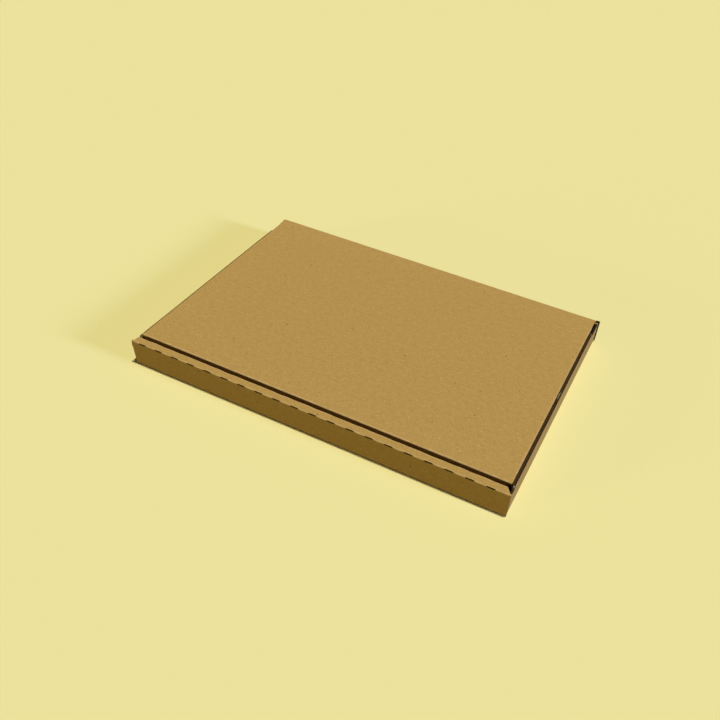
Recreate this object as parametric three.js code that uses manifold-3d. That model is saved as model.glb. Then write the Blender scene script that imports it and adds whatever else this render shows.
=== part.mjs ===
// Large letter postal box: one die-cut sheet of thin corrugated board, folded into a tray with a hinged lid.
// Millimetres. +Z is up, the front wall faces -Y, and the origin is under the middle of the base.

import * as THREE from 'three';
import { mergeVertices } from 'three/addons/utils/BufferGeometryUtils.js';
import Module from 'manifold-3d';

const wasm = await Module();
wasm.setup();

// Board
const board = 1.5;
const creaseRadius = 0.3;
const bendSteps = 4;

// Overall sizes, over the outer faces of the walls
const sideSpan = 341;
const depth = 247.4;
const insideHeight = 20;

// Clearances
const layerGap = 0.3;
const partingGap = 0.3;
const lidLeftGap = 0.3;
const lidRightGap = 1.7;
const lidFrontGap = 4.4;

// Front wall, rolled over at the top
const frontOverhang = 0.2;
const topStrip = 7.5;
const leftBevel = 2.4;
const rightBevel = 5.2;
const earLength = 6.5;
const earRise = 1;
const leftEndSlant = 3;
const slitLength = 7.6;
const slitWidth = 0.5;
const slitPitch = 16.56;
const slitMargin = 9;
const slitShift = -2;

// Tabs under the rolled-over panel, and their slots in the base
const lockTabWidth = 62;
const lockTabSpacing = 168;
const lockTabTaper = 4;
const lockTabLift = 0.2;

// Back wall
const backOverhang = 0.9;
const backEarDrop = 0.4;

// Side walls and their corner tabs
const frontStep = 10.5;
const rearStep = 25.5;
const cornerTabLength = 58;
const cornerTabTaper = 5;

// Lid flaps
const tuckFlapDepth = 20;
const tuckFlapTaper = 7;
const tuckFlapSetback = 2;
const sideFlapDepth = 18;
const sideFlapTaper = 9;
const sideFlapFrontSetback = 2.5;
const sideFlapRearSetback = 12;

const kraft = { color: 0xb48f49, roughness: 0.85, metalness: 0 };

// Sizes that follow from the ones above
const half = board / 2;
const bendOuter = creaseRadius + board;
const height = insideHeight + 2 * board;
const frontFace = -depth / 2;
const backFace = depth / 2;
const frontLength = sideSpan + 2 * frontOverhang;
const backLength = sideSpan + 2 * backOverhang;
const bendTop = height - bendOuter;
const layerTop = height - board - layerGap;
const layerFoot = board + layerGap;
const innerPanelFace = frontFace + topStrip;
const lidFront = innerPanelFace + lidFrontGap;
const lidLeft = -sideSpan / 2 + board + lidLeftGap;
const lidRight = sideSpan / 2 - board - lidRightGap;
const tabLayer = board + layerGap + half;
const sideWallEnd = depth / 2 - tabLayer - creaseRadius - half;
const earStart = frontLength / 2 - earLength;
const lap = 4;

const sectionFrames = {
  x: [new THREE.Vector3(0, 1, 0), new THREE.Vector3(0, 0, 1), new THREE.Vector3(1, 0, 0)],
  y: [new THREE.Vector3(1, 0, 0), new THREE.Vector3(0, 0, 1), new THREE.Vector3(0, -1, 0)],
  z: [new THREE.Vector3(1, 0, 0), new THREE.Vector3(0, 1, 0), new THREE.Vector3(0, 0, 1)],
};

function solidOf(geometry) {
  geometry.deleteAttribute('normal');
  geometry.deleteAttribute('uv');
  const merged = mergeVertices(geometry, 1e-4);
  return new wasm.Manifold(new wasm.Mesh({
    numProp: 3,
    vertProperties: merged.attributes.position.array,
    triVerts: new Uint32Array(merged.index.array),
  }));
}

// A prism runs along one axis. Its outline is drawn in the other two: y z, x z or x y.
function prism(outline, axis, from, to) {
  const shape = new THREE.Shape(outline.map(([u, v]) => new THREE.Vector2(u, v)));
  const geometry = new THREE.ExtrudeGeometry(shape, { depth: to - from, bevelEnabled: false });
  geometry.translate(0, 0, axis === 'y' ? -to : from);
  geometry.applyMatrix4(new THREE.Matrix4().makeBasis(...sectionFrames[axis]));
  return solidOf(geometry);
}

function block(x0, x1, y0, y1, z0, z1) {
  const geometry = new THREE.BoxGeometry(x1 - x0, y1 - y0, z1 - z0);
  geometry.translate((x0 + x1) / 2, (y0 + y1) / 2, (z0 + z1) / 2);
  return solidOf(geometry);
}

function joined(solids) {
  return solids.reduce((sum, solid) => sum.add(solid));
}

function cut(solid, tools) {
  return tools.reduce((rest, tool) => rest.subtract(tool), solid);
}

function mirrored(outline) {
  return outline.map(([u, v]) => [-u, v]).reverse();
}

// Round bend at one crease, seen along the crease, on the face that lies off to the left of the centreline.
function bendArc(before, corner, after, off) {
  const from = corner.clone().sub(before).normalize();
  const to = after.clone().sub(corner).normalize();
  const turn = Math.atan2(from.cross(to), from.dot(to));
  const radius = creaseRadius + half;
  const reach = radius * Math.tan(Math.abs(turn) / 2);
  const side = Math.sign(turn);
  const left = new THREE.Vector2(-from.y, from.x);
  const centre = corner.clone().addScaledVector(from, -reach).addScaledVector(left, side * radius);
  const spoke = left.clone().multiplyScalar(-side * (radius - side * off));
  const points = [];
  for (let step = 0; step <= bendSteps; step += 1) {
    points.push(spoke.clone().rotateAround(new THREE.Vector2(), (turn * step) / bendSteps).add(centre));
  }
  return points;
}

function facePoints(corners, off) {
  const last = corners.length - 1;
  return corners.flatMap((corner, index) => {
    if (index > 0 && index < last) {
      return bendArc(corners[index - 1], corner, corners[index + 1], off);
    }
    const along = index === 0 ? corners[1].clone().sub(corner) : corner.clone().sub(corners[last - 1]);
    along.normalize();
    return [corner.clone().addScaledVector(new THREE.Vector2(-along.y, along.x), off)];
  });
}

// Board folded along a centreline, as an outline of its section.
function foldedBoard(centreline) {
  const corners = centreline.map(([u, v]) => new THREE.Vector2(u, v));
  const rim = [...facePoints(corners, -half), ...facePoints(corners, half).reverse()];
  return rim.map((point) => [point.x, point.y]);
}

// The hinge crease is parted on a plane at 45 degrees, through the middle of its bend.
function hingeSide(side) {
  const reach = depth;
  const shift = (side * partingGap) / 2 * Math.SQRT2;
  const near = [backFace - bendOuter - reach, bendTop - reach + shift];
  const far = [backFace - bendOuter + reach, bendTop + reach + shift];
  const corner = side > 0 ? [near[0], far[1]] : [far[0], near[1]];
  const outline = side > 0 ? [near, far, corner] : [far, near, corner];
  return prism(outline, 'x', -sideSpan, sideSpan);
}

function hingeCrease(panelEnd) {
  const section = foldedBoard([[backFace - half, bendTop - lap], [backFace - half, height - half],
    [panelEnd, height - half]]);
  return prism(section, 'x', lidLeft, lidRight);
}

function baseAndSides() {
  const wall = sideSpan / 2 - half;
  const section = foldedBoard([[-wall, height], [-wall, half], [wall, half], [wall, height]]);
  const steps = [
    block(-sideSpan, sideSpan, -depth, frontFace + frontStep, layerTop, height + lap),
    block(-sideSpan, sideSpan, backFace - rearStep, depth, layerTop, height + lap),
  ];
  return cut(prism(section, 'y', -sideWallEnd, sideWallEnd), steps);
}

// A corner tab turns in from the end of a side wall. side is -1 or 1 in x, end is -1 or 1 in y.
function cornerTab(side, end) {
  const wall = sideSpan / 2 - half;
  const layer = depth / 2 - tabLayer;
  const line = [[wall, sideWallEnd - lap], [wall, layer], [wall - cornerTabLength, layer]];
  const section = foldedBoard(line.map(([x, y]) => [side * x, end * y]));
  const outline = [[wall + board, bendOuter], [wall + board, layerTop],
    [wall - cornerTabLength, layerTop - cornerTabTaper],
    [wall - cornerTabLength, layerFoot + cornerTabTaper], [wall - bendOuter, layerFoot],
    [wall - half, layerFoot], [wall - half, bendOuter]];
  const tab = prism(end * side > 0 ? section : [...section].reverse(), 'z', 0, height);
  return tab.intersect(prism(side > 0 ? outline : mirrored(outline), 'y', -depth, depth));
}

// The left end slants in to a raised corner. The right end is square and reaches the ground.
function frontPanel() {
  const outer = frontLength / 2;
  const outline = [[leftEndSlant - outer, earRise], [-earStart, 0], [-earStart, bendOuter],
    [earStart, bendOuter], [earStart, 0], [outer, 0], [outer, bendTop], [-outer, bendTop]];
  return prism(outline, 'y', frontFace, frontFace + board);
}

function frontFoot() {
  const section = foldedBoard([[frontFace + half, bendOuter + lap], [frontFace + half, half],
    [innerPanelFace + lap, half]]);
  return prism(section, 'x', -earStart, earStart);
}

// The strip and the inner panel are cut shorter than the front panel, with a slanting end at each side.
function rolledOver() {
  const panel = innerPanelFace - half;
  const section = foldedBoard([[frontFace + half, bendTop - lap], [frontFace + half, height - half],
    [panel, height - half], [panel, layerFoot]]);
  const outer = frontLength / 2;
  const bevels = [leftBevel, rightBevel].flatMap((bevel, index) => {
    const slant = [[outer, frontFace], [outer + lap, frontFace], [outer + lap, lidFront],
      [outer - bevel, lidFront], [outer - bevel, innerPanelFace]];
    const slanted = index === 0 ? mirrored(slant) : slant;
    const ends = index === 0 ? [-outer - lap, bevel - outer] : [outer - bevel, outer + lap];
    return [
      prism(slanted, 'z', bendTop, height + lap),
      block(...ends, frontFace + board + layerGap, lidFront, 0, bendTop),
    ];
  });
  return cut(prism(section, 'x', -outer, outer), bevels);
}

function lockTabPlaces() {
  return [-lockTabSpacing / 2, lockTabSpacing / 2];
}

function lockTab(place) {
  const wide = lockTabWidth / 2;
  const outline = [[place - wide, layerFoot + lap], [place - wide, board],
    [place - wide + lockTabTaper, lockTabLift], [place + wide - lockTabTaper, lockTabLift],
    [place + wide, board], [place + wide, layerFoot + lap]];
  return prism(outline, 'y', innerPanelFace - board, innerPanelFace);
}

function lockSlot(place) {
  const wide = lockTabWidth / 2 + layerGap;
  const near = innerPanelFace - board - layerGap;
  return block(place - wide, place + wide, near, innerPanelFace + layerGap, -board, layerFoot);
}

// Cuts through the outer top crease of the front wall, which let the board roll over it.
function slits() {
  const count = Math.floor((frontLength - 2 * slitMargin) / slitPitch) + 1;
  const bendMiddle = creaseRadius + half;
  return Array.from({ length: count }, (_, index) => {
    const geometry = new THREE.BoxGeometry(slitLength, 2 * bendOuter, slitWidth);
    geometry.rotateX(-Math.PI / 4);
    geometry.translate((index - (count - 1) / 2) * slitPitch + slitShift, 0, 0);
    const apex = bendMiddle * Math.SQRT1_2;
    geometry.translate(0, frontFace + bendOuter - apex, bendTop + apex);
    return solidOf(geometry);
  });
}

function backPanel() {
  const outer = backLength / 2;
  const earTop = height - backEarDrop;
  const foot = backLength / 2 - earLength;
  const outline = [[-outer, earRise], [-foot, 0], [-foot, bendOuter], [foot, bendOuter], [foot, 0],
    [outer, earRise], [outer, earTop], [lidRight + layerGap, earTop], [lidRight + layerGap, bendTop],
    [lidLeft - layerGap, bendTop], [lidLeft - layerGap, earTop], [-outer, earTop]];
  return prism(outline, 'y', backFace - board, backFace);
}

function backFoot() {
  const section = foldedBoard([[backFace - bendOuter - lap, half], [backFace - half, half],
    [backFace - half, bendOuter + lap]]);
  const foot = backLength / 2 - earLength;
  return prism(section, 'x', -foot, foot);
}

function tray() {
  const tabs = [-1, 1].flatMap((side) => [-1, 1].map((end) => cornerTab(side, end)));
  const walls = cut(joined([baseAndSides(), frontFoot(), backFoot()]), lockTabPlaces().map(lockSlot));
  const rolled = cut(joined([frontPanel(), rolledOver(), ...lockTabPlaces().map(lockTab)]), slits());
  const back = joined([backPanel(), hingeCrease(backFace - bendOuter).intersect(hingeSide(-1))]);
  return joined([walls, rolled, back, ...tabs]);
}

function lidPanel() {
  const outline = [[lidLeft + bendOuter, lidFront + bendOuter], [lidRight - bendOuter, lidFront + bendOuter],
    [lidRight - bendOuter, backFace - bendOuter], [lidLeft + bendOuter, backFace - bendOuter]];
  return prism(outline, 'z', height - board, height);
}

function tuckFlap() {
  const section = foldedBoard([[lidFront + sideFlapFrontSetback, height - half],
    [lidFront + half, height - half], [lidFront + half, height - tuckFlapDepth]]);
  const foot = height - tuckFlapDepth;
  const outline = [[lidLeft, bendTop], [lidLeft + tuckFlapSetback, bendTop],
    [lidLeft + tuckFlapSetback + tuckFlapTaper, foot], [lidRight - tuckFlapSetback - tuckFlapTaper, foot],
    [lidRight - tuckFlapSetback, bendTop], [lidRight, bendTop], [lidRight, height + lap],
    [lidLeft, height + lap]];
  return prism(section, 'x', lidLeft, lidRight).intersect(prism(outline, 'y', -depth, depth));
}

function sideFlaps() {
  const foot = height - sideFlapDepth;
  const section = foldedBoard([[lidLeft + half, foot], [lidLeft + half, height - half],
    [lidRight - half, height - half], [lidRight - half, foot]]);
  const start = lidFront + sideFlapFrontSetback;
  const end = backFace - sideFlapRearSetback;
  const outline = [[start, bendTop], [start + sideFlapTaper, foot], [end - sideFlapTaper, foot],
    [end, bendTop], [end, height + lap], [start, height + lap]];
  return prism(section, 'y', start, end).intersect(prism(outline, 'x', -sideSpan, sideSpan));
}

function lid() {
  const crease = hingeCrease(backFace - sideFlapRearSetback).intersect(hingeSide(1));
  return joined([lidPanel(), crease, tuckFlap(), sideFlaps()]);
}

function meshOf(solid, name) {
  const { vertProperties, triVerts } = solid.getMesh();
  const geometry = new THREE.BufferGeometry();
  geometry.setAttribute('position', new THREE.BufferAttribute(vertProperties, 3));
  geometry.setIndex(new THREE.BufferAttribute(triVerts, 1));
  geometry.computeVertexNormals();
  const mesh = new THREE.Mesh(geometry, new THREE.MeshStandardMaterial({ ...kraft, flatShading: true }));
  mesh.name = name;
  return mesh;
}

const postalBox = new THREE.Group();
postalBox.add(meshOf(tray(), 'tray'), meshOf(lid(), 'lid'));

export default postalBox;
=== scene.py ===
import math

import bmesh
import bpy
from mathutils import Matrix, Vector, noise


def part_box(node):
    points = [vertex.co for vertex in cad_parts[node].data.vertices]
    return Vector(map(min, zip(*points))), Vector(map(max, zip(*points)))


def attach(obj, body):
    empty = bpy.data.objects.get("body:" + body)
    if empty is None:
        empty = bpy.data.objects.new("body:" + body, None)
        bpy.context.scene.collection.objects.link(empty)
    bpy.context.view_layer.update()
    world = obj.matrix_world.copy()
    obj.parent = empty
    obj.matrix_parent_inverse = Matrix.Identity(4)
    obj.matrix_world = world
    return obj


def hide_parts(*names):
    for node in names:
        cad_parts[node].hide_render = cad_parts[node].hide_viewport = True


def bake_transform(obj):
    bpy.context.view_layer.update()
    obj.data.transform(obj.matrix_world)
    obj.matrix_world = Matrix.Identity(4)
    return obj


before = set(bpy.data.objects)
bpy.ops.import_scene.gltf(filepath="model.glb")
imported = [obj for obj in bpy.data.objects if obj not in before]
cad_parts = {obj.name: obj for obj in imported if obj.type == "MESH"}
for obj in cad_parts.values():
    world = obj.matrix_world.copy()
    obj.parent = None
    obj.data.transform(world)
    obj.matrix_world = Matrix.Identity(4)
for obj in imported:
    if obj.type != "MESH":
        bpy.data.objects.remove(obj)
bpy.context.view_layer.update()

bl_info = {
    "name": "Large letter postal box",
    "version": (1, 0, 0),
    "blender": (4, 5, 0),
    "location": "View3D > Sidebar > Postal Box",
    "description": "Folds a flat corrugated postal box around its packed frame",
    "category": "Add Mesh",
}

MM = 0.001
TRAY_LOW, TRAY_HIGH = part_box("tray")
LID_LOW, LID_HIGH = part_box("lid")

SHARP_ANGLE = math.radians(35)
# How far round a crease the pale wear and painted highlight reach full strength, and the smaller share of
# them on creases that face sideways.
WORN_AND_HIGHLIGHT_TILT = math.radians(7)
SIDE_WEAR_AND_HIGHLIGHT = 0.3
SIDEWAYS = 0.05

# Axes that an outline's two coordinates and the run of a prism go to.
AXES = {"x": (1, 2, 0), "y": (0, 2, 1), "z": (0, 1, 2)}
X_AXIS = (1, 0, 0)
Y_AXIS = (0, 1, 0)
Z_AXIS = (0, 0, 1)
DOWN = (0, 0, -1)

# Lengths down to TINY are in millimetres, and shares have no unit.

# Folded panels.
LAYER_GAP = 0.3
PANEL_LAP = 4.0
BACK_OVERHANG = 0.9
FRONT_OVERHANG = 0.2
TOP_STRIP = 7.5
BEVELS = (2.4, 5.2)
EAR_LENGTH = 6.5
EAR_RISE = 1.0
LEFT_END_SLANT = 3.0
BACK_EAR_DROP = 0.4
LOCK_TAB_WIDTH = 62.0
LOCK_TAB_SPACING = 168.0
LOCK_TAB_TAPER = 4.0
LOCK_TAB_LIFT = 0.2
FRONT_STEP = 10.5
REAR_STEP = 25.5
CORNER_TAB_LENGTH = 58.0
CORNER_TAB_TAPER = 5.0
TUCK_FLAP_TAPER = 7.0
TUCK_FLAP_SETBACK = 2.0
SIDE_FLAP_DEPTH = 18.0
SIDE_FLAP_TAPER = 9.0
SIDE_FLAP_FRONT = 2.5
SIDE_FLAP_REAR = 12.0

# Perforated crease, and the creases that are pressed sharper than the rest.
SLIT_LENGTH = 7.6
SLIT_WIDTH = 0.95
SLIT_PARALLEL = 0.8
SLIT_PITCH = 16.56
SLIT_MARGIN = 9.0
SLIT_SHIFT = -2.0
SLIT_DROP = 0.2
STRIP_EDGE_RADIUS = 0.7
LID_EDGE_RADIUS = 1.0
FOLD_LAP = 0.2
FOLD_SHARE = 0.8

# Raw edges. Cuts into them start outside the board and reach a little past it.
OUTSIDE = 1.0
RAW_SKIN = 0.02
SKIN_LAP = 0.1
SKIN_GAP = 0.01
CELL_STEPS = 8
CELL_LIP = 0.06
CELL_START = 0.5
CELL_MARGIN = 0.2
TAB_MARGIN = 2.0
TUCK_FOOT = 0.7

# Wear, and painted shade: the liner is cut away from the right end of the back wall so that its dark flutes
# paint the shade there, the left wall is pressed down, and a sliver of liner is torn loose from the top of
# the right wall and bowed inwards.
SHADE_CUT_START = 0.6
SHADE_CUT_LAP = 0.2
SHADE_CUT_FACE = 0.05
SHADE_CUT_BREAK = 0.1
LEFT_WALL_DROP = 1.6
NICK = (-4.0, 6.4)
NICK_BOW = 0.85
NICK_FULLNESS = 0.7
NICK_STEPS = 12
SLIVER_FACES = (0.1, 0.32)
SLIVER_DROP = (2.4, 0.05)
SCRAP_OUTLINE = ((0, -0.3), (0.9, -0.2), (0.7, 0.9), (0.2, 1.1))
SCRAP_DROP = (0.6, 0.3)

# How hand-folded board strays from straight, over waves of a given length.
FOOT = 2
SINK_FOOT = 4
SCALLOP = 0.5
SHORT_WAVE = 12
LONG_WAVE = 31
LONG_SHARE = 0.8
LEAN = 0.12
LEAN_WAVE = 45
LEAN_RUN = 4
LID_SAG = 0.12
LID_BUCKLE = 0.14
LID_WAVE = 70
LID_RUN = 25

# Distances between the edges added along x, y and z, and beside each crease.
TRAY_SPACING = (4, 15, 30)
LID_SPACING = (10, 10, 30)
CREASE_SPACING = (10, 10, 10)
BESIDE_CREASE = 0.7
HINGE_STEPS = 24
TINY = 1e-4

LINER = "Kraft liner, calendered"
# The fluting paper is coloured darker than it is, as painted shade on every cut edge.
FLUTING_WITH_SHADE = "Fluting paper, darkened as painted shade"
TORN = "Kraft liner, torn"

# The solved view of the photograph: a 720 pixel frame with its middle on the view axis.
CAMERA_PLACE = Vector((0.23302, -0.5373, 0.46497))
CAMERA_AHEAD = Vector((-0.32274, 0.70467, -0.63189))
CAMERA_RIGHT = Vector((0.88554, 0.46051, 0.06126))
FRAME_PIXELS = 720
FOCAL_PIXELS = 825.46
SENSOR_WIDTH = 36.0

# The floor lies just under the box. Its reach and drop are in metres, the others shares of light.
FLOOR_REACH = 4.0
FLOOR_DROP = 0.1 * MM
FLOOR_BOUNCE = 0.5
SKY_FILL = 0.05


def srgb_to_linear(text):
    """Linear colour of an sRGB hex value such as #b48f49."""
    channels = [int(text[start:start + 2], 16) / 255 for start in (1, 3, 5)]
    return [c / 12.92 if c <= 0.04045 else ((c + 0.055) / 1.055) ** 2.4 for c in channels]


def length_setting(name, description, millimetres):
    return bpy.props.FloatProperty(name=name, description=description, default=millimetres * MM,
                                   unit="LENGTH", precision=5)


def colour_setting(name, description, text):
    return bpy.props.FloatVectorProperty(name=name, description=description,
                                         default=srgb_to_linear(text), subtype="COLOR", size=3)


class PostalBoxSizes(bpy.types.PropertyGroup):
    """Board and creases. The panels themselves take their sizes from the frame."""

    board: length_setting("Board", "Thickness of the corrugated board", 1.5)
    liner: length_setting("Liner", "Thickness of each outer paper", 0.2)
    medium: length_setting("Fluting paper", "Thickness of the wavy paper between the liners", 0.16)
    flute_pitch: length_setting("Flute pitch", "Distance from one flute to the next", 3.0)
    flute_show: length_setting("Flute depth", "How far the flutes are hollow behind a cut edge", 3.0)
    crease_radius: length_setting("Crease radius", "Inside radius of each fold", 0.3)
    bend_steps: bpy.props.IntProperty(
        name="Bend steps", description="Facets round a quarter bend", default=10, min=4, max=24)
    strip_wander: length_setting("Strip wander", "How far the rolled-over strip strays from straight", 0.3)


class PostalBoxFinish(bpy.types.PropertyGroup):
    """Colours of the paper and the stage."""

    kraft: colour_setting("Kraft liner", "Mean colour of the outer paper", "#b69049")
    kraft_dark: colour_setting("Kraft liner, dark", "Darker clouds in the paper", "#ad8843")
    speck: colour_setting("Bark specks", "Dark fibres in the paper", "#6b4d1d")
    # This pale colour also paints the highlight along the creases.
    fleck_and_highlight: colour_setting("Pale flecks", "Pale fibres and worn creases", "#d6b47a")
    # Darker than the paper itself: painted shade on every cut edge and bared flute.
    medium: colour_setting("Fluting paper", "Colour of the recycled paper in the flutes", "#4f3f2b")
    torn: colour_setting("Torn liner", "Pale inside of torn paper", "#c9b48f")
    floor: colour_setting("Floor", "Plain pale floor as the camera sees it", "#f0e39a")


class Layout:
    """Every size of the folded box in millimetres, from the frame and the settings."""

    def __init__(self, sizes):
        self.board = sizes.board / MM
        self.liner = sizes.liner / MM
        self.medium = sizes.medium / MM
        self.pitch = sizes.flute_pitch / MM
        self.show = sizes.flute_show / MM
        self.steps = sizes.bend_steps
        self.wander = sizes.strip_wander / MM
        self.half = self.board / 2
        self.inside_bend = sizes.crease_radius / MM
        self.bend = self.inside_bend + self.board
        self.height = TRAY_HIGH.z / MM
        self.front = TRAY_LOW.y / MM
        self.back = TRAY_HIGH.y / MM
        self.back_end = TRAY_HIGH.x / MM
        self.side = self.back_end - BACK_OVERHANG
        self.front_end = self.side + FRONT_OVERHANG
        self.strip = self.front + TOP_STRIP
        self.lid_front = LID_LOW.y / MM
        self.lid_left = LID_LOW.x / MM
        self.lid_right = LID_HIGH.x / MM
        self.lid_foot = LID_LOW.z / MM
        self.bend_top = self.height - self.bend
        self.layer_top = self.height - self.board - LAYER_GAP
        self.layer_foot = self.board + LAYER_GAP
        self.tab_layer = self.back - self.board - LAYER_GAP - self.half
        self.wall_end = self.tab_layer - self.inside_bend - self.half
        self.ear_start = self.front_end - EAR_LENGTH
        self.back_ear_start = self.back_end - EAR_LENGTH
        self.back_ear_top = self.height - BACK_EAR_DROP
        self.inside = self.half - self.liner
        self.beside = self.bend + BESIDE_CREASE
        self.flap_start = self.lid_front + SIDE_FLAP_FRONT
        self.flap_end = self.back - SIDE_FLAP_REAR


def prism_faces(count):
    sides = [(i, (i + 1) % count, count + (i + 1) % count, count + i) for i in range(count)]
    return sides + [tuple(reversed(range(count))), tuple(range(count, 2 * count))]


def prism(outline, axis, low, high):
    """Closed shell over an outline, run along one axis."""
    first, second, run = AXES[axis]
    verts = []
    for end in (low, high):
        for u, v in outline:
            point = [0.0, 0.0, 0.0]
            point[first], point[second], point[run] = u, v, end
            verts.append(point)
    return verts, prism_faces(len(outline))


def block(x0, x1, y0, y1, z0, z1):
    return prism([(x0, y0), (x1, y0), (x1, y1), (x0, y1)], "z", z0, z1)


def mirrored(outline):
    return [(-u, v) for u, v in reversed(outline)]


def face_line(box, corners, off):
    """Points along one face of a folded strip; off is measured to the left of the way it runs."""
    points = []
    last = len(corners) - 1
    radius = box.inside_bend + box.half
    for index, corner in enumerate(corners):
        if index in (0, last):
            along = (corners[1] - corners[0] if index == 0 else corner - corners[last - 1]).normalized()
            points.append(corner + Vector((-along.y, along.x)) * off)
            continue
        start = (corner - corners[index - 1]).normalized()
        end = (corners[index + 1] - corner).normalized()
        turn = math.atan2(start.x * end.y - start.y * end.x, start.dot(end))
        side = math.copysign(1, turn)
        left = Vector((-start.y, start.x))
        centre = corner - start * radius * math.tan(abs(turn) / 2) + left * side * radius
        spoke = left * -side * (radius - side * off)
        for step in range(box.steps + 1):
            points.append(Matrix.Rotation(turn * step / box.steps, 2) @ spoke + centre)
    return points


def folded_board(box, centreline):
    """Outline of the board's section, folded along a centreline."""
    corners = [Vector(corner) for corner in centreline]
    rim = face_line(box, corners, -box.half) + face_line(box, corners, box.half)[::-1]
    return [tuple(point) for point in rim]


def shell_object(name, shells, material):
    """One mesh object from closed shells."""
    verts, faces = [], []
    for shell_verts, shell_faces in shells:
        start = len(verts)
        verts.extend(shell_verts)
        faces.extend([start + i for i in face] for face in shell_faces)
    mesh = bpy.data.meshes.new(name)
    mesh.from_pydata(verts, [], faces)
    shaped = bmesh.new()
    shaped.from_mesh(mesh)
    bmesh.ops.recalc_face_normals(shaped, faces=shaped.faces)
    shaped.to_mesh(mesh)
    shaped.free()
    mesh.materials.append(material)
    made = bpy.data.objects.new(name, mesh)
    bpy.context.scene.collection.objects.link(made)
    return made


def boolean(target, tool, operation):
    """Joins, cuts or trims the target with the tool, and removes the tool."""
    modifier = target.modifiers.new("Boolean", "BOOLEAN")
    modifier.operation = operation
    modifier.solver = "MANIFOLD"
    modifier.material_mode = "TRANSFER"
    modifier.object = tool
    shaped = target.evaluated_get(bpy.context.evaluated_depsgraph_get())
    mesh = bpy.data.meshes.new_from_object(shaped)
    target.modifiers.clear()
    old = target.data
    target.data = mesh
    bpy.data.meshes.remove(old)
    bpy.data.meshes.remove(tool.data)
    return target


def joined(name, shells, material):
    """Union of closed shells that touch or overlap."""
    whole = shell_object(name, shells[:1], material)
    for shell in shells[1:]:
        boolean(whole, shell_object("joining", [shell], material), "UNION")
    return whole


def cut(target, shells, material):
    return boolean(target, shell_object("cutting", shells, material), "DIFFERENCE")


def cell_outlines(box, length):
    """The open cells at a cut edge: along the edge from 0 to length, and across the board."""
    swing = box.inside - box.medium / 2
    margin = math.acos(1 - CELL_LIP / swing)
    turns = [margin + (2 * math.pi - 2 * margin) * step / CELL_STEPS for step in range(CELL_STEPS + 1)]
    wave = [(turn / (2 * math.pi), swing * math.cos(turn) + box.medium / 2) for turn in turns]
    closed = wave + [(wave[-1][0], box.inside), (wave[0][0], box.inside)]
    count = int(length / box.pitch)
    outlines = []
    for index in range(count):
        start = index * box.pitch
        outlines.append([(start + s * box.pitch, v) for s, v in closed])
        if index + 1 < count:
            outlines.append([(start + (s + 0.5) * box.pitch, -v) for s, v in closed])
    return outlines


def edge_cells(box, origin, along, across, inward, length, depth, outside=OUTSIDE):
    """Hollow flutes behind a cut edge. They start outside the edge and end at a depth behind it."""
    origin, along, across, inward = (Vector(value) for value in (origin, along, across, inward))
    shells = []
    for outline in cell_outlines(box, length):
        verts = []
        for reach in (-outside, depth):
            verts.extend(origin + along * s + across * v + inward * reach for s, v in outline)
        shells.append((verts, prism_faces(len(outline))))
    return shells


def trimmed(folded, outline, material):
    """What a folded strip of board keeps when it is cut to a flat outline."""
    piece = shell_object("folded", [folded], material)
    return boolean(piece, shell_object("outline", [outline], material), "INTERSECT")


def base_and_sides(box):
    wall = box.side - box.half
    section = folded_board(box, [(-wall, box.height), (-wall, box.half),
                                 (wall, box.half), (wall, box.height)])
    return prism(section, "y", -box.wall_end, box.wall_end)


def wall_steps(box):
    """The side walls are cut lower at both ends, level with their corner tabs."""
    wide = box.side + PANEL_LAP
    top = box.height + PANEL_LAP
    return [
        block(-wide, wide, box.front - PANEL_LAP, box.front + FRONT_STEP, box.layer_top, top),
        block(-wide, wide, box.back - REAR_STEP, box.back + PANEL_LAP, box.layer_top, top),
    ]


def corner_tab(box, side, end, material):
    wall = box.side - box.half
    tip = wall - CORNER_TAB_LENGTH
    line = [(wall, box.wall_end - PANEL_LAP), (wall, box.tab_layer), (tip, box.tab_layer)]
    section = folded_board(box, [(side * x, end * y) for x, y in line])
    outline = [(wall + box.board, box.bend), (wall + box.board, box.layer_top),
               (tip, box.layer_top - CORNER_TAB_TAPER), (tip, box.layer_foot + CORNER_TAB_TAPER),
               (wall - box.bend, box.layer_foot), (wall - box.half, box.layer_foot),
               (wall - box.half, box.bend)]
    outline = outline if side > 0 else mirrored(outline)
    return trimmed(prism(section, "z", 0, box.height),
                   prism(outline, "y", 2 * box.front, 2 * box.back), material)


def front_panel(box):
    end, start = box.front_end, box.ear_start
    outline = [(LEFT_END_SLANT - end, EAR_RISE), (-start, 0), (-start, box.bend), (start, box.bend),
               (start, 0), (end, 0), (end, box.bend_top), (-end, box.bend_top)]
    return prism(outline, "y", box.front, box.front + box.board)


def front_foot(box):
    section = folded_board(box, [(box.front + box.half, box.bend + PANEL_LAP),
                                 (box.front + box.half, box.half),
                                 (box.strip + PANEL_LAP, box.half)])
    return prism(section, "x", -box.ear_start, box.ear_start)


def rolled_over(box):
    panel = box.strip - box.half
    section = folded_board(box, [(box.front + box.half, box.bend_top - PANEL_LAP),
                                 (box.front + box.half, box.height - box.half),
                                 (panel, box.height - box.half), (panel, box.layer_foot)])
    return prism(section, "x", -box.front_end, box.front_end)


def sharp_fold(box, axis, face, way, radius, low, high):
    """Fills out the top edge of a crease that is pressed sharper than the other bends."""
    turns = [math.pi / 2 * step / box.steps for step in range(box.steps + 1)]
    arc = [(radius * (1 - math.cos(turn)), radius * (1 - math.sin(turn))) for turn in turns]
    inner = box.board * FOLD_SHARE
    reach = box.bend + FOLD_LAP
    corner = [(0, reach), *arc, (reach, 0), (reach, inner), (inner, inner), (inner, reach)]
    outline = [(face + way * behind, box.height - below) for behind, below in corner]
    return prism(outline, axis, low, high)


def strip_folds(box):
    """The perforated front crease and the rear crease of the top strip, pressed sharp."""
    return [sharp_fold(box, "x", face, way, STRIP_EDGE_RADIUS, -box.front_end, box.front_end)
            for face, way in ((box.front, 1), (box.strip, -1))]


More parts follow.
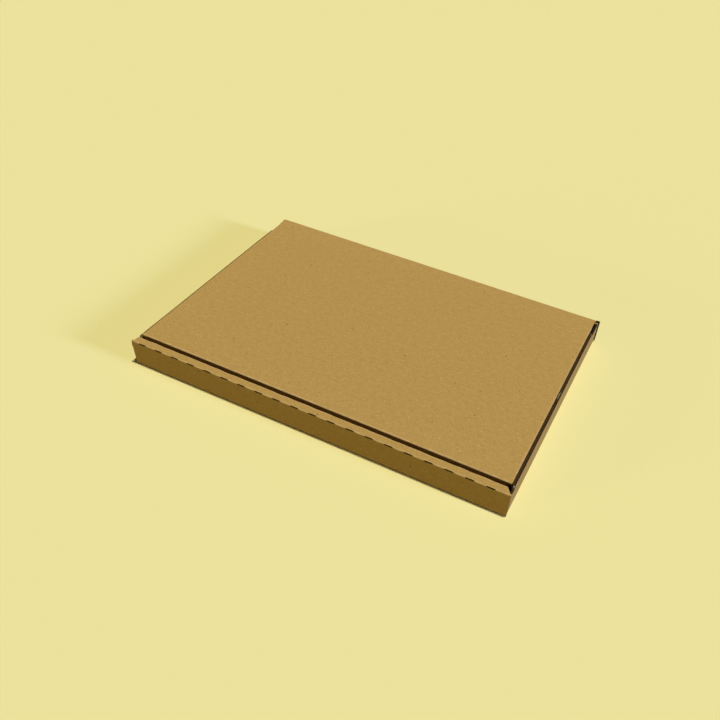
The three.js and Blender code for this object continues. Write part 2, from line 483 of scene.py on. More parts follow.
def bevels(box):
    """What the slanting ends of the strip leave out, with the inner panel's shorter ends."""
    end = box.front_end
    out = end + PANEL_LAP
    behind = box.front + box.board + LAYER_GAP
    shells = []
    for side, bevel in zip((-1, 1), BEVELS):
        slant = [(end, box.front), (out, box.front), (out, box.lid_front),
                 (end - bevel, box.lid_front), (end - bevel, box.strip)]
        slant = slant if side > 0 else mirrored(slant)
        shells.append(prism(slant, "z", box.bend_top, box.height + PANEL_LAP))
        low, high = sorted((side * (end - bevel), side * out))
        shells.append(block(low, high, behind, box.lid_front, -OUTSIDE, box.bend_top))
    return shells


def lock_tabs(box):
    shells = []
    top = box.layer_foot + PANEL_LAP
    wide = LOCK_TAB_WIDTH / 2
    for place in (-LOCK_TAB_SPACING / 2, LOCK_TAB_SPACING / 2):
        outline = [(place - wide, top), (place - wide, box.board),
                   (place - wide + LOCK_TAB_TAPER, LOCK_TAB_LIFT),
                   (place + wide - LOCK_TAB_TAPER, LOCK_TAB_LIFT),
                   (place + wide, box.board), (place + wide, top)]
        shells.append(prism(outline, "y", box.strip - box.board, box.strip))
    return shells


def lock_slots(box):
    wide = LOCK_TAB_WIDTH / 2 + LAYER_GAP
    return [block(place - wide, place + wide, box.strip - box.board - LAYER_GAP,
                  box.strip + LAYER_GAP, -OUTSIDE, box.layer_foot)
            for place in (-LOCK_TAB_SPACING / 2, LOCK_TAB_SPACING / 2)]


def slit_places(box):
    count = int((2 * box.front_end - 2 * SLIT_MARGIN) / SLIT_PITCH) + 1
    return [(index - (count - 1) / 2) * SLIT_PITCH + SLIT_SHIFT for index in range(count)]


def slits(box):
    """Cuts at 45 degrees through the outer top crease of the front wall, with pointed ends."""
    apex = (box.inside_bend + box.half) * math.sqrt(0.5)
    middle = Vector((0, box.front + box.bend - apex, box.bend_top + apex))
    across = Vector((0, 1, 1)).normalized()
    through = Vector((0, -1, 1)).normalized()
    middle -= across * SLIT_DROP
    long, wide = SLIT_LENGTH / 2, SLIT_WIDTH / 2
    even = long * SLIT_PARALLEL
    outline = [(-long, 0), (-even, -wide), (even, -wide), (long, 0), (even, wide), (-even, wide)]
    shells = []
    for place in slit_places(box):
        verts = []
        for reach in (-box.bend, box.bend):
            verts.extend(middle + Vector((place + s, 0, 0)) + across * v + through * reach
                         for s, v in outline)
        shells.append((verts, prism_faces(len(outline))))
    return shells


def back_panel(box):
    end, start, top = box.back_end, box.back_ear_start, box.back_ear_top
    left, right = box.lid_left - LAYER_GAP, box.lid_right + LAYER_GAP
    outline = [(-end, EAR_RISE), (-start, 0), (-start, box.bend), (start, box.bend), (start, 0),
               (end, EAR_RISE), (end, top), (right, top), (right, box.bend_top),
               (left, box.bend_top), (left, top), (-end, top)]
    return prism(outline, "y", box.back - box.board, box.back)


def back_foot(box):
    section = folded_board(box, [(box.back - box.bend - PANEL_LAP, box.half),
                                 (box.back - box.half, box.half),
                                 (box.back - box.half, box.bend + PANEL_LAP)])
    return prism(section, "x", -box.back_ear_start, box.back_ear_start)


def raw_skins(box):
    """The thinnest shaving off each cut edge that crosses the flutes, so that it shows its raw face."""
    wide, deep, tall = 2 * box.side, 2 * box.back, 2 * box.height
    near, far = box.front + FRONT_STEP, box.back - REAR_STEP
    wall = box.side - box.board - SKIN_LAP
    rear = box.back - box.board - SKIN_LAP
    low_top = box.layer_top - RAW_SKIN
    shells = []
    for side in (-1, 1):
        across = sorted((side * wall, side * (box.side - 2 * box.liner)))
        # The left wall's top is crushed by the lid, and its liner has closed over it.
        if side > 0:
            shells.append(block(*across, near, far, box.height - RAW_SKIN, tall))
        shells.append(block(*across, box.front + box.bend, near - SKIN_GAP, low_top, tall))
        shells.append(block(*across, far + SKIN_GAP, rear, low_top, tall))
        ends = sorted((side * (box.back_end - RAW_SKIN), side * wide))
        shells.append(block(*ends, rear, deep, -OUTSIDE, tall))
    top = box.back_ear_top - RAW_SKIN
    shells.append(block(box.lid_right + OUTSIDE, wide, rear, deep, top, tall))
    return shells


def tray_edges(box):
    """Hollow flutes at every cut edge of the tray that crosses the flutes."""
    wall = box.side - box.half
    step = box.height - box.layer_top
    shells = []
    for side in (-1, 1):
        inward = (-side, 0, 0)
        shells += edge_cells(box, (side * wall, -box.wall_end, box.height), Y_AXIS, X_AXIS,
                             DOWN, 2 * box.wall_end, step + 2 * box.show)
        shells += edge_cells(box, (side * box.front_end, box.front + box.half, box.bend),
                             Z_AXIS, Y_AXIS, inward, box.bend_top - box.bend,
                             LEFT_END_SLANT + box.show)
        shells += edge_cells(box, (side * box.back_end, box.back - box.half, EAR_RISE + CELL_START),
                             Z_AXIS, Y_AXIS, inward, box.back_ear_top - EAR_RISE, 2 * box.show)
        bevel = BEVELS[(side + 1) // 2]
        end = side * (box.front_end - bevel)
        shells += edge_cells(box, (end, box.strip - box.half, box.layer_foot + CELL_START),
                             Z_AXIS, Y_AXIS, inward, box.bend_top - box.layer_foot - CELL_START,
                             box.show)
        shells += edge_cells(box, (end, box.front + box.bend, box.height - box.half),
                             Y_AXIS, Z_AXIS, inward, TOP_STRIP - 2 * box.bend,
                             box.show - bevel / 2, bevel + OUTSIDE)
        start = min(side * (wall - box.bend), side * (wall - CORNER_TAB_LENGTH + TAB_MARGIN))
        shells += edge_cells(box, (start, box.tab_layer, box.layer_top), X_AXIS, Y_AXIS,
                             DOWN, CORNER_TAB_LENGTH - box.bend - TAB_MARGIN,
                             CORNER_TAB_TAPER + box.show)
    out, top = box.back_end + OUTSIDE, box.height + OUTSIDE
    middle = box.back - box.half
    shells.append(block(box.lid_right + OUTSIDE, out, middle - box.inside, middle + box.inside,
                        box.height - 2 * box.show, top))
    # The liner is cut away from the right end of the back wall down to the ground, so that its dark flutes
    # show there as painted shade.
    face = box.back - box.board - SHADE_CUT_LAP
    break_line = box.layer_top + SHADE_CUT_BREAK
    shells.append(block(box.lid_right + SHADE_CUT_START, out, face, middle, break_line, top))
    shells.append(block(box.side + SHADE_CUT_FACE, out, face, middle, -OUTSIDE, break_line))
    return shells


def lid_edges(box):
    """Hollow flutes at every cut edge of the lid that crosses the flutes."""
    flap_start = box.lid_front + SIDE_FLAP_FRONT + SIDE_FLAP_TAPER
    flap_run = box.back - SIDE_FLAP_REAR - SIDE_FLAP_TAPER - flap_start
    flap_foot = box.height - SIDE_FLAP_DEPTH
    rear = box.back - SIDE_FLAP_REAR + CELL_MARGIN
    tuck_reach = TUCK_FLAP_SETBACK + TUCK_FLAP_TAPER
    middle = box.lid_front + box.half
    shells = []
    for side, end in ((-1, box.lid_left), (1, box.lid_right)):
        inward = (-side, 0, 0)
        shells += edge_cells(box, (end - side * box.half, flap_start, flap_foot), Y_AXIS, X_AXIS,
                             Z_AXIS, flap_run, box.show)
        shells += edge_cells(box, (end, middle, box.lid_foot + CELL_START), Z_AXIS, Y_AXIS, inward,
                             box.bend_top - box.lid_foot - CELL_START, tuck_reach + box.show)
        shells += edge_cells(box, (end, rear, box.height - box.half), Y_AXIS, Z_AXIS, inward,
                             SIDE_FLAP_REAR - box.bend - CELL_MARGIN, box.show)
    left = box.lid_left + tuck_reach + box.show + OUTSIDE
    right = box.lid_right - tuck_reach - box.show - OUTSIDE
    shells.append(block(left, right, middle - box.inside, middle + box.inside,
                        box.lid_foot - OUTSIDE, box.lid_foot + TUCK_FOOT))
    return shells


def lid_panel(box):
    near, far = box.lid_front + box.bend, box.back - box.bend
    left, right = box.lid_left + box.bend, box.lid_right - box.bend
    return block(left, right, near, far, box.height - box.board, box.height)


def lid_rear(box):
    return block(box.lid_left, box.lid_right, box.back - SIDE_FLAP_REAR, box.back - box.bend,
                 box.height - box.board, box.height)


def tuck_flap(box, material):
    middle = box.lid_front + box.half
    section = folded_board(box, [(box.lid_front + SIDE_FLAP_FRONT, box.height - box.half),
                                 (middle, box.height - box.half), (middle, box.lid_foot)])
    left, right, top = box.lid_left, box.lid_right, box.height + PANEL_LAP
    inset = TUCK_FLAP_SETBACK + TUCK_FLAP_TAPER
    outline = [(left, box.bend_top), (left + TUCK_FLAP_SETBACK, box.bend_top),
               (left + inset, box.lid_foot), (right - inset, box.lid_foot),
               (right - TUCK_FLAP_SETBACK, box.bend_top), (right, box.bend_top), (right, top),
               (left, top)]
    return trimmed(prism(section, "x", left, right),
                   prism(outline, "y", 2 * box.front, 2 * box.back), material)


def side_flaps(box, material):
    foot = box.height - SIDE_FLAP_DEPTH
    left, right = box.lid_left + box.half, box.lid_right - box.half
    section = folded_board(box, [(left, foot), (left, box.height - box.half),
                                 (right, box.height - box.half), (right, foot)])
    start, end = box.flap_start, box.flap_end
    top = box.height + PANEL_LAP
    outline = [(start, box.bend_top), (start + SIDE_FLAP_TAPER, foot), (end - SIDE_FLAP_TAPER, foot),
               (end, box.bend_top), (end, top), (start, top)]
    return trimmed(prism(section, "y", start, end),
                   prism(outline, "x", 2 * box.lid_left, 2 * box.lid_right), material)


def lid_folds(box):
    """The front crease and the two side creases of the lid, pressed sharp."""
    return [sharp_fold(box, axis, face, way, LID_EDGE_RADIUS, low, high)
            for axis, face, way, low, high in (
                ("x", box.lid_front, 1, box.lid_left, box.lid_right),
                ("y", box.lid_left, 1, box.flap_start, box.flap_end),
                ("y", box.lid_right, -1, box.flap_start, box.flap_end))]


def torn_sliver(box):
    """A strip of liner that stands bowed off the inner face of the right wall, at its top."""
    start, end = NICK
    face = box.side - box.board
    outer, inner = [], []
    for step in range(NICK_STEPS + 1):
        share = step / NICK_STEPS
        bow = NICK_BOW * math.sin(math.pi * share) ** NICK_FULLNESS
        y = start + (end - start) * share
        outer.append((face + SLIVER_FACES[0] - bow, y))
        inner.append((face + SLIVER_FACES[1] - bow, y))
    return prism(outer + inner[::-1], "z", *(box.height - drop for drop in SLIVER_DROP))


def step_scraps(box):
    """Loose scraps of liner where the right wall drops to its corner tabs."""
    face = box.side - box.board
    low, high = box.layer_top - SCRAP_DROP[0], box.height - SCRAP_DROP[1]
    scraps = []
    for place, way in ((box.front + FRONT_STEP, -1), (box.back - REAR_STEP, 1)):
        outline = [(face + out, place + along * way) for out, along in SCRAP_OUTLINE]
        scraps.append(prism(outline if way > 0 else outline[::-1], "z", low, high))
    return scraps


def sliced(piece, spacing, places):
    """Extra edges across the long panels, so that they can stray from flat, and beside the creases."""
    shaped = bmesh.new()
    shaped.from_mesh(piece.data)
    for axis, step in enumerate(spacing):
        ends = [vert.co[axis] for vert in shaped.verts]
        low, high = min(ends), max(ends)
        count = int((high - low) / step)
        evenly = [low + (high - low) * index / count for index in range(1, count)]
        normal = Vector((axis == 0, axis == 1, axis == 2))
        for place in evenly + places[axis]:
            everything = shaped.verts[:] + shaped.edges[:] + shaped.faces[:]
            bmesh.ops.bisect_plane(shaped, geom=everything, dist=TINY, plane_co=normal * place,
                                   plane_no=normal)
    bmesh.ops.triangulate(shaped, faces=[face for face in shaped.faces if len(face.verts) > 4])
    bmesh.ops.dissolve_degenerate(shaped, dist=TINY, edges=shaped.edges[:])
    # Two faces on the same corners hold nothing between them.
    alike = {}
    for face in shaped.faces:
        alike.setdefault(frozenset(face.verts), []).append(face)
    empty = [face for faces in alike.values() if len(faces) > 1 for face in faces]
    bmesh.ops.delete(shaped, geom=empty, context="FACES")
    shaped.to_mesh(piece.data)
    shaped.free()


def stray(place, wavelength, seed):
    """Smooth noise from -1 to 1."""
    return noise.noise(Vector(place) / wavelength + Vector((seed, 0, 0)))


def ramp(value, low, high):
    share = min(max((value - low) / (high - low), 0), 1)
    return share * share * (3 - 2 * share)


def settle_tray(piece, box):
    """Hand-folded board is never quite straight: the roll wanders between its slits, the walls lean
    a little, and the left wall is pressed down by the lid."""
    for vert in piece.data.vertices:
        x, y, z = vert.co
        up = ramp(z, FOOT, box.height)
        rolled = ramp(y, box.front + box.bend, box.strip)
        behind = ramp(y, box.strip, box.strip + 1)
        scallop = math.cos(2 * math.pi * (x - SLIT_SHIFT) / SLIT_PITCH)
        wave = SCALLOP * scallop + stray((x, 0, 0), SHORT_WAVE, 4)
        wave += LONG_SHARE * stray((x, 0, 0), LONG_WAVE, 7)
        y += (1 - behind) * up * rolled * box.wander * wave
        leaning = ramp(abs(x), box.side - LEAN_RUN, box.side - box.board)
        x += leaning * up * LEAN * stray((0, y, 0), LEAN_WAVE, 2 + math.copysign(1, x))
        left = ramp(-x, box.side - LEAN_RUN, box.side - box.board)
        sunk = left * ramp(z, SINK_FOOT, box.layer_top)
        vert.co.z = z - LEFT_WALL_DROP * sunk * ramp(y, box.strip, box.strip + 1)
        vert.co.x = min(max(x, -box.back_end), box.back_end)
        vert.co.y = min(max(y, box.front), box.back)


def settle_lid(piece, box):
    """The lid sags a little between its flaps."""
    for vert in piece.data.vertices:
        x, y, z = vert.co
        panel = ramp(z, box.height - 2 * box.board, box.height - box.board)
        inner = 1
        for place, low, high in ((x, box.lid_left, box.lid_right), (y, box.lid_front, box.back)):
            inner *= ramp(place, low, low + LID_RUN) * ramp(-place, -high, -high + LID_RUN)
        vert.co.z += panel * inner * (LID_BUCKLE * stray((x, y, 0), LID_WAVE, 3) - LID_SAG)


def mark_paper(piece):
    """UVs run along and across the flutes, in metres, and a mark of how far a point is round a crease gives
    pale wear and a painted highlight there.
    """
    mesh = piece.data
    shaped = bmesh.new()
    shaped.from_mesh(mesh)
    shaped.normal_update()
    rounded = []
    for vert in shaped.verts:
        sharp = any(edge.calc_face_angle(math.pi) > SHARP_ANGLE for edge in vert.link_edges)
        tilt = math.acos(min(max(map(abs, vert.normal)), 1))
        # Creases that face sideways get less of the painted highlight.
        wear_and_highlight = SIDE_WEAR_AND_HIGHLIGHT if abs(vert.normal.x) > SIDEWAYS else 1.0
        rounded.append(0.0 if sharp else wear_and_highlight * min(tilt / WORN_AND_HIGHLIGHT_TILT, 1.0))
    shaped.free()
    mesh.attributes.new("worn_and_highlight", "FLOAT", "POINT").data.foreach_set("value", rounded)
    layer = mesh.uv_layers.new(name="board")
    for polygon in mesh.polygons:
        tilt = [abs(value) for value in polygon.normal]
        facing = tilt.index(max(tilt))
        # Each side of the board gets its own part of the paper's pattern.
        side = math.copysign(0.5, polygon.normal[facing])
        for loop in polygon.loop_indices:
            x, y, z = mesh.vertices[mesh.loops[loop].vertex_index].co
            along, across = ((z, y), (x, z), (x, y))[facing]
            layer.data[loop].uv = (along + side + facing, across + side)


def finished(piece, name):
    """Scales a piece to metres, and gives it smooth bends, sharp cuts and paper coordinates."""
    piece.name = name
    piece.data.name = name
    piece.data.transform(Matrix.Scale(MM, 4))
    piece.data.set_sharp_from_angle(angle=SHARP_ANGLE)
    piece.data.polygons.foreach_set("use_smooth", [True] * len(piece.data.polygons))
    mark_paper(piece)
    piece.data.update()
    return piece


def add_node(tree, kind, settings=None, inputs=None, links=None):
    """Adds a shader node with its settings, input values and incoming links."""
    node = tree.nodes.new("ShaderNode" + kind)
    for name, value in (settings or {}).items():
        setattr(node, name, value)
    for name, value in (inputs or {}).items():
        node.inputs[name].default_value = value
    for name, source in (links or {}).items():
        tree.links.new(source, node.inputs[name])
    return node


def new_material(name):
    material = bpy.data.materials.new(name)
    material.use_nodes = True
    material.node_tree.nodes.clear()
    return material, material.node_tree


def with_alpha(colour):
    return (*colour, 1.0)


def tinted(tree, base, colour, share):
    """The base colour, turned to another colour by a share from 0 to 1."""
    mix = add_node(tree, "Mix", {"data_type": "RGBA"}, {"B": with_alpha(colour)},
                   {"Factor": share, "A": base})
    return mix.outputs["Result"]


def spots(tree, paper, place, width, height):
    """Scattered points, one to each cell of a width and height in metres."""
    space = add_node(tree, "Mapping", {}, {"Location": place, "Scale": (1 / width, 1 / height, 1)},
                     {"Vector": paper})
    return add_node(tree, "TexVoronoi", {"voronoi_dimensions": "2D", "feature": "F1"},
                    {"Scale": 1, "Randomness": 1}, {"Vector": space.outputs["Vector"]})


def paper_shader(tree, colour, bump, roughness, gloss):
    shader = add_node(tree, "BsdfPrincipled", {},
                      {"Roughness": roughness, "IOR": 1.47, "Specular IOR Level": gloss},
                      {"Base Color": colour, "Normal": bump.outputs["Normal"]})
    add_node(tree, "OutputMaterial", {}, {}, {"Surface": shader.outputs["BSDF"]})


def kraft_liner():
    """Kraft liner: unbleached wood pulp pressed on a paper machine, which leaves soft clouds, stray dark
    fibres and a dry, matt face with the flutes just showing through."""
    colours = bpy.context.scene.postal_box_finish
    sizes = bpy.context.scene.postal_box_sizes
    material, tree = new_material(LINER)
    paper = add_node(tree, "UVMap", {"uv_map": "board"}).outputs["UV"]

    # Clouds of denser pulp, about 5 mm across, which break up the plain brown.
    clouds = add_node(tree, "TexNoise", {"noise_dimensions": "2D"},
                      {"Scale": 1 / (5 * MM), "Detail": 5, "Roughness": 0.75}, {"Vector": paper})
    cloud_mix = add_node(tree, "MapRange", {}, {"From Min": 0.3, "From Max": 0.7},
                         {"Value": clouds.outputs["Fac"]})
    body = add_node(tree, "Mix", {"data_type": "RGBA"},
                    {"A": with_alpha(colours.kraft_dark), "B": with_alpha(colours.kraft)},
                    {"Factor": cloud_mix.outputs["Result"]})

    # Fibres lie across the flutes: about 0.7 mm wide and 2.4 mm long, drawn coarse enough to show.
    stretched = add_node(tree, "Mapping", {}, {"Scale": (1 / (0.7 * MM), 1 / (2.4 * MM), 1)},
                         {"Vector": paper})
    fibres = add_node(tree, "TexNoise", {"noise_dimensions": "2D"},
                      {"Scale": 1, "Detail": 3, "Roughness": 0.65}, {"Vector": stretched.outputs["Vector"]})
    fibre_tone = add_node(tree, "MapRange", {},
                          {"From Min": 0.3, "From Max": 0.7, "To Min": 0.84, "To Max": 1.15},
                          {"Value": fibres.outputs["Fac"]})
    fibred = add_node(tree, "VectorMath", {"operation": "SCALE"}, {},
                      {"Vector": body.outputs["Result"], "Scale": fibre_tone.outputs["Result"]})

    # Dark bark specks, about 30 mm apart, the largest 2 mm wide with their soft rims.
    specks = spots(tree, paper, (0, 0, 0), 27 * MM, 30 * MM)
    speck_size = add_node(tree, "SeparateColor", {}, {}, {"Color": specks.outputs["Color"]})
    speck_edge = add_node(tree, "Math", {"operation": "MULTIPLY"}, {1: 0.044},
                          {0: speck_size.outputs["Red"]})
    speck_mask = add_node(tree, "MapRange", {"interpolation_type": "SMOOTHSTEP"},
                          {"From Min": 0.0, "To Min": 1.0, "To Max": 0.0},
                          {"Value": specks.outputs["Distance"], "From Max": speck_edge.outputs["Value"]})
    specked = tinted(tree, fibred.outputs["Vector"], colours.speck, speck_mask.outputs["Result"])

    # Pale flecks of longer fibre, about 1 mm wide and 2 mm long.
    flecks = spots(tree, paper, (7, 3, 0), 9 * MM, 17 * MM)
    fleck_mask = add_node(tree, "MapRange", {"interpolation_type": "SMOOTHSTEP"},
                          {"From Min": 0.0, "From Max": 0.07, "To Min": 0.5, "To Max": 0.0},
                          {"Value": flecks.outputs["Distance"]})
    flecked = tinted(tree, specked, colours.fleck_and_highlight, fleck_mask.outputs["Result"])

    # Creases are rubbed paler where the paper is stretched round them, and the same pale colour also paints
    # a highlight along them, less on the side creases.
    worn_and_highlight = add_node(tree, "Attribute", {"attribute_name": "worn_and_highlight"})
    uneven = add_node(tree, "MapRange", {},
                      {"From Min": 0.35, "From Max": 0.65, "To Min": 0.2, "To Max": 0.8},
                      {"Value": clouds.outputs["Fac"]})
    rub_and_highlight = add_node(tree, "Math", {"operation": "MULTIPLY"}, {},
                   {0: worn_and_highlight.outputs["Fac"], 1: uneven.outputs["Result"]})
    rubbed_and_highlit = tinted(tree, flecked, colours.fleck_and_highlight, rub_and_highlight.outputs["Value"])

    # The flutes show through as faint ridges at their own pitch.
    split = add_node(tree, "SeparateXYZ", {}, {}, {"Vector": paper})
    phase = add_node(tree, "Math", {"operation": "MULTIPLY"},
                     {1: 2 * math.pi / sizes.flute_pitch}, {0: split.outputs["Y"]})
    ridges = add_node(tree, "Math", {"operation": "SINE"}, {}, {0: phase.outputs["Value"]})
    ridge_height = add_node(tree, "Math", {"operation": "MULTIPLY"}, {1: 0.16},
                            {0: ridges.outputs["Value"]})
    height = add_node(tree, "Math", {"operation": "ADD"}, {},
                      {0: ridge_height.outputs["Value"], 1: fibres.outputs["Fac"]})
    bump = add_node(tree, "Bump", {}, {"Strength": 0.35, "Distance": 0.08 * MM},
                    {"Height": height.outputs["Value"]})
    paper_shader(tree, rubbed_and_highlit, bump, 0.82, 0.35)
    return material


def bare_pulp(name, colour, fuzz_size, tones, relief, roughness, gloss):
    """Paper without its pressed face: fine fuzz breaks up its tone and roughens it."""
    material, tree = new_material(name)
    place = add_node(tree, "TexCoord").outputs["Object"]
    fuzz = add_node(tree, "TexNoise", {}, {"Scale": 1 / fuzz_size, "Detail": 3}, {"Vector": place})
    tone = add_node(tree, "MapRange", {},
                    {"From Min": 0.3, "From Max": 0.7, "To Min": tones[0], "To Max": tones[1]},
                    {"Value": fuzz.outputs["Fac"]})
    toned = add_node(tree, "VectorMath", {"operation": "SCALE"}, {0: colour},
                     {"Scale": tone.outputs["Result"]})
    bump = add_node(tree, "Bump", {}, {"Strength": relief, "Distance": 0.1 * MM},
                    {"Height": fuzz.outputs["Fac"]})
    paper_shader(tree, toned.outputs["Vector"], bump, roughness, gloss)
    return material


def fluting_paper_with_shade():
    """Fluting paper: recycled, heat-formed into waves and then die-cut, so its edges are rough and dull.
    Its colour is darker than the paper itself, as painted shade in the cells and on bared flutes.
    """
    colour = bpy.context.scene.postal_box_finish.medium
    return bare_pulp(FLUTING_WITH_SHADE, colour, 0.6 * MM, (0.75, 1.2), 0.5, 0.92, 0.25)


def torn_liner():
    """Torn kraft liner: the sheet splits through its thickness and shows pale, fuzzy pulp."""
    colour = bpy.context.scene.postal_box_finish.torn
    return bare_pulp(TORN, colour, 0.5 * MM, (0.85, 1.1), 0.6, 0.95, 0.2)


def seen_directly(tree):
    """1 where the eye sees a surface itself, or sees it in a gloss or through glass."""
    rays = add_node(tree, "LightPath")
    glossy = add_node(tree, "Math", {"operation": "MAXIMUM"}, {},
                      {0: rays.outputs["Is Camera Ray"], 1: rays.outputs["Is Glossy Ray"]})
    through = add_node(tree, "Math", {"operation": "MAXIMUM"}, {},
                       {0: glossy.outputs["Value"], 1: rays.outputs["Is Transmission Ray"]})
    return through.outputs["Value"]


def pale_floor():
    """Matt painted board. The camera sees it pale, and it throws back less light than it shows."""
    colours = bpy.context.scene.postal_box_finish
    material, tree = new_material("Painted board, matt")
    direct = seen_directly(tree)
    thrown = [value * FLOOR_BOUNCE for value in colours.floor]
    colour = add_node(tree, "Mix", {"data_type": "RGBA"},
                      {"A": with_alpha(thrown), "B": with_alpha(colours.floor)}, {"Factor": direct})
    shader = add_node(tree, "BsdfDiffuse", {}, {}, {"Color": colour.outputs["Result"]})
    add_node(tree, "OutputMaterial", {}, {}, {"Surface": shader.outputs["BSDF"]})
    return material


def paper(name, maker):
    """The named paper, made the first time it is asked for."""
    return bpy.data.materials.get(name) or maker()


def board_papers():
    return paper(LINER, kraft_liner), paper(FLUTING_WITH_SHADE, fluting_paper_with_shade)


class POSTALBOX_OT_tray(bpy.types.Operator):
    """Fold the tray: base, walls, rolled-over front and corner tabs"""

    bl_idname = "postal_box.tray"
    bl_label = "Fold Tray"

    def execute(self, context):
        box = Layout(context.scene.postal_box_sizes)
        liner, fluting_with_shade = board_papers()
        tray = joined("tray", [base_and_sides(box), front_foot(box), back_foot(box)], liner)
        cut(tray, wall_steps(box), fluting_with_shade)
        cut(tray, lock_slots(box), fluting_with_shade)
        front = joined("front", [front_panel(box), rolled_over(box), *strip_folds(box),
                                 *lock_tabs(box)], liner)
        for shell in bevels(box):
            cut(front, [shell], fluting_with_shade)
        cut(front, slits(box), fluting_with_shade)
        boolean(tray, front, "UNION")
        boolean(tray, shell_object("back", [back_panel(box)], liner), "UNION")
        for side in (-1, 1):
            for end in (-1, 1):
                boolean(tray, corner_tab(box, side, end, liner), "UNION")
        for shell in raw_skins(box):
            cut(tray, [shell], fluting_with_shade)
        cut(tray, tray_edges(box), fluting_with_shade)
        torn = paper(TORN, torn_liner)
        boolean(tray, joined("sliver", [torn_sliver(box), *step_scraps(box)], torn), "UNION")
        beside = box.beside
        sliced(tray, TRAY_SPACING, (
            [beside - box.side, box.side - beside],
            [box.front + beside, box.strip - beside, box.back - beside],
            [beside, box.height - beside]))
        settle_tray(tray, box)
        finished(tray, "tray_board")
        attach(tray, "tray")
        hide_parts("tray")
        return {"FINISHED"}


class POSTALBOX_OT_lid(bpy.types.Operator):
    """Fold the lid: panel, tuck flap and two side flaps"""

    bl_idname = "postal_box.lid"
    bl_label = "Fold Lid"

    def execute(self, context):
        box = Layout(context.scene.postal_box_sizes)
        liner, fluting_with_shade = board_papers()
        lid = joined("lid", [lid_panel(box), lid_rear(box)], liner)
        boolean(lid, tuck_flap(box, liner), "UNION")
        boolean(lid, side_flaps(box, liner), "UNION")
        for fold in lid_folds(box):
            boolean(lid, shell_object("fold", [fold], liner), "UNION")
        cut(lid, lid_edges(box), fluting_with_shade)
        beside = box.beside
        sliced(lid, LID_SPACING, (
            [box.lid_left + beside, box.lid_right - beside],
            [box.lid_front + beside, box.back - beside],
            [box.height - beside]))
        settle_lid(lid, box)
        finished(lid, "lid_board")
        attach(lid, "lid")
        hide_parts("lid")
        return {"FINISHED"}


class POSTALBOX_OT_hinge_crease(bpy.types.Operator):
    """Bend the crease that joins the back wall to the lid"""

    bl_idname = "postal_box.hinge_crease"
    bl_label = "Bend Hinge Crease"

    def execute(self, context):
        box = Layout(context.scene.postal_box_sizes)
        liner = paper(LINER, kraft_liner)
        centre = Vector((box.back - box.bend, box.bend_top))
        turns = [math.pi / 2 * step / HINGE_STEPS for step in range(HINGE_STEPS + 1)]
        spokes = [Vector((math.cos(turn), math.sin(turn))) for turn in turns]
        rim = [centre + spoke * box.bend for spoke in spokes]
        rim += [centre + spoke * box.inside_bend for spoke in reversed(spokes)]
        shell = prism([tuple(point) for point in rim], "x", box.lid_left, box.lid_right)
        crease = shell_object("crease", [shell], liner)
        sliced(crease, CREASE_SPACING, ([], [], []))
        finished(crease, "hinge_crease")
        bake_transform(crease)
        return {"FINISHED"}


def sun_light(name, source, power, softness, colour):
    """Even light from one direction. source points towards the light, softness is its width in degrees."""
    data = bpy.data.lights.new(name, "SUN")
    data.energy = power
    data.angle = math.radians(softness)
    data.color = colour
    lamp = bpy.data.objects.new(name, data)
    lamp.rotation_euler = Vector(source).to_track_quat("Z", "Y").to_euler()
    bpy.context.scene.collection.objects.link(lamp)


def photo_camera():
    """Camera at the photograph's place and angle."""
    data = bpy.data.cameras.new("photo camera")
    data.sensor_fit = "HORIZONTAL"
    data.sensor_width = SENSOR_WIDTH
    data.lens = SENSOR_WIDTH * FOCAL_PIXELS / FRAME_PIXELS
    camera = bpy.data.objects.new("photo camera", data)
    ahead = CAMERA_AHEAD.normalized()
    right = CAMERA_RIGHT.normalized()
    up = right.cross(ahead)
    turn = Matrix((right, up, -ahead)).transposed()
    camera.matrix_world = Matrix.Translation(CAMERA_PLACE) @ turn.to_4x4()
    bpy.context.scene.collection.objects.link(camera)
    bpy.context.scene.camera = camera


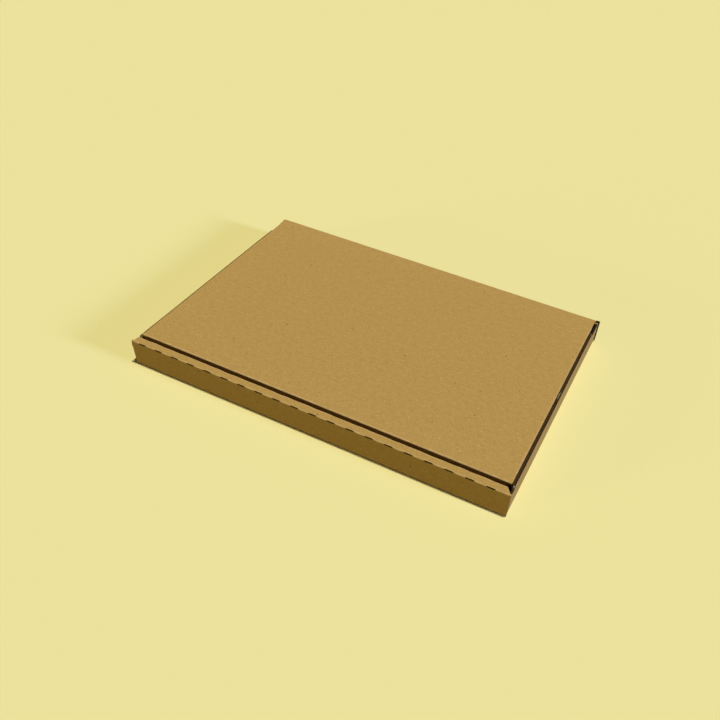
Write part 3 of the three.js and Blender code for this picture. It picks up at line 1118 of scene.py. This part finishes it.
class POSTALBOX_OT_stage(bpy.types.Operator):
    """Set the pale floor, the soft studio light and the camera"""

    bl_idname = "postal_box.stage"
    bl_label = "Set Stage"

    def execute(self, context):
        floor_mesh = bpy.data.meshes.new("floor")
        corners = [(x * FLOOR_REACH, y * FLOOR_REACH, -FLOOR_DROP)
                   for x, y in ((-1, -1), (1, -1), (1, 1), (-1, 1))]
        floor_mesh.from_pydata(corners, [], [(0, 1, 2, 3)])
        floor_mesh.materials.append(pale_floor())
        floor = bpy.data.objects.new("floor", floor_mesh)
        context.scene.collection.objects.link(floor)

        world = bpy.data.worlds.new("studio")
        world.use_nodes = True
        tree = world.node_tree
        tree.nodes.clear()
        colours = context.scene.postal_box_finish
        direct = seen_directly(tree)
        seen = add_node(tree, "Background", {}, {"Color": with_alpha(colours.floor), "Strength": 1.0})
        fill = add_node(tree, "Background", {}, {"Color": (1, 1, 1, 1), "Strength": SKY_FILL})
        mixed = add_node(tree, "MixShader", {}, {},
                         {0: direct, 1: fill.outputs["Background"], 2: seen.outputs["Background"]})
        add_node(tree, "OutputWorld", {}, {}, {"Surface": mixed.outputs["Shader"]})
        context.scene.world = world

        # The front fill is low, so it lights the front wall but does not reach down behind it.
        sun_light("key, above", (0.1, 0.06, 0.97), 2.52, 4, (1.0, 1.0, 0.9))
        sun_light("fill, low in front", (-0.6, -0.78, 0.1), 0.6, 10, (1.0, 0.93, 0.5))
        sun_light("side, low on the right", (0.95, 0.04, 0.28), 2.9, 10, (0.36, 0.46, 1.0))
        photo_camera()
        context.scene.view_settings.view_transform = "Standard"
        return {"FINISHED"}


class POSTALBOX_PT_panel(bpy.types.Panel):
    """Sizes, colours and steps of the postal box"""

    bl_idname = "POSTALBOX_PT_panel"
    bl_label = "Postal Box"
    bl_space_type = "VIEW_3D"
    bl_region_type = "UI"
    bl_category = "Postal Box"

    def draw(self, context):
        for settings in (context.scene.postal_box_sizes, context.scene.postal_box_finish):
            box = self.layout.box()
            for name in settings.__annotations__:
                box.prop(settings, name)
        for operator in OPERATORS:
            self.layout.operator(operator.bl_idname)


OPERATORS = (POSTALBOX_OT_stage, POSTALBOX_OT_tray, POSTALBOX_OT_lid, POSTALBOX_OT_hinge_crease)
CLASSES = (PostalBoxSizes, PostalBoxFinish, *OPERATORS, POSTALBOX_PT_panel)


def register():
    for cls in CLASSES:
        bpy.utils.register_class(cls)
    bpy.types.Scene.postal_box_sizes = bpy.props.PointerProperty(type=PostalBoxSizes)
    bpy.types.Scene.postal_box_finish = bpy.props.PointerProperty(type=PostalBoxFinish)


def unregister():
    del bpy.types.Scene.postal_box_finish
    del bpy.types.Scene.postal_box_sizes
    for cls in reversed(CLASSES):
        bpy.utils.unregister_class(cls)


def main():
    register()
    bpy.ops.postal_box.stage()
    bpy.ops.postal_box.tray()
    bpy.ops.postal_box.lid()
    bpy.ops.postal_box.hinge_crease()


if __name__ == "__main__":
    main()
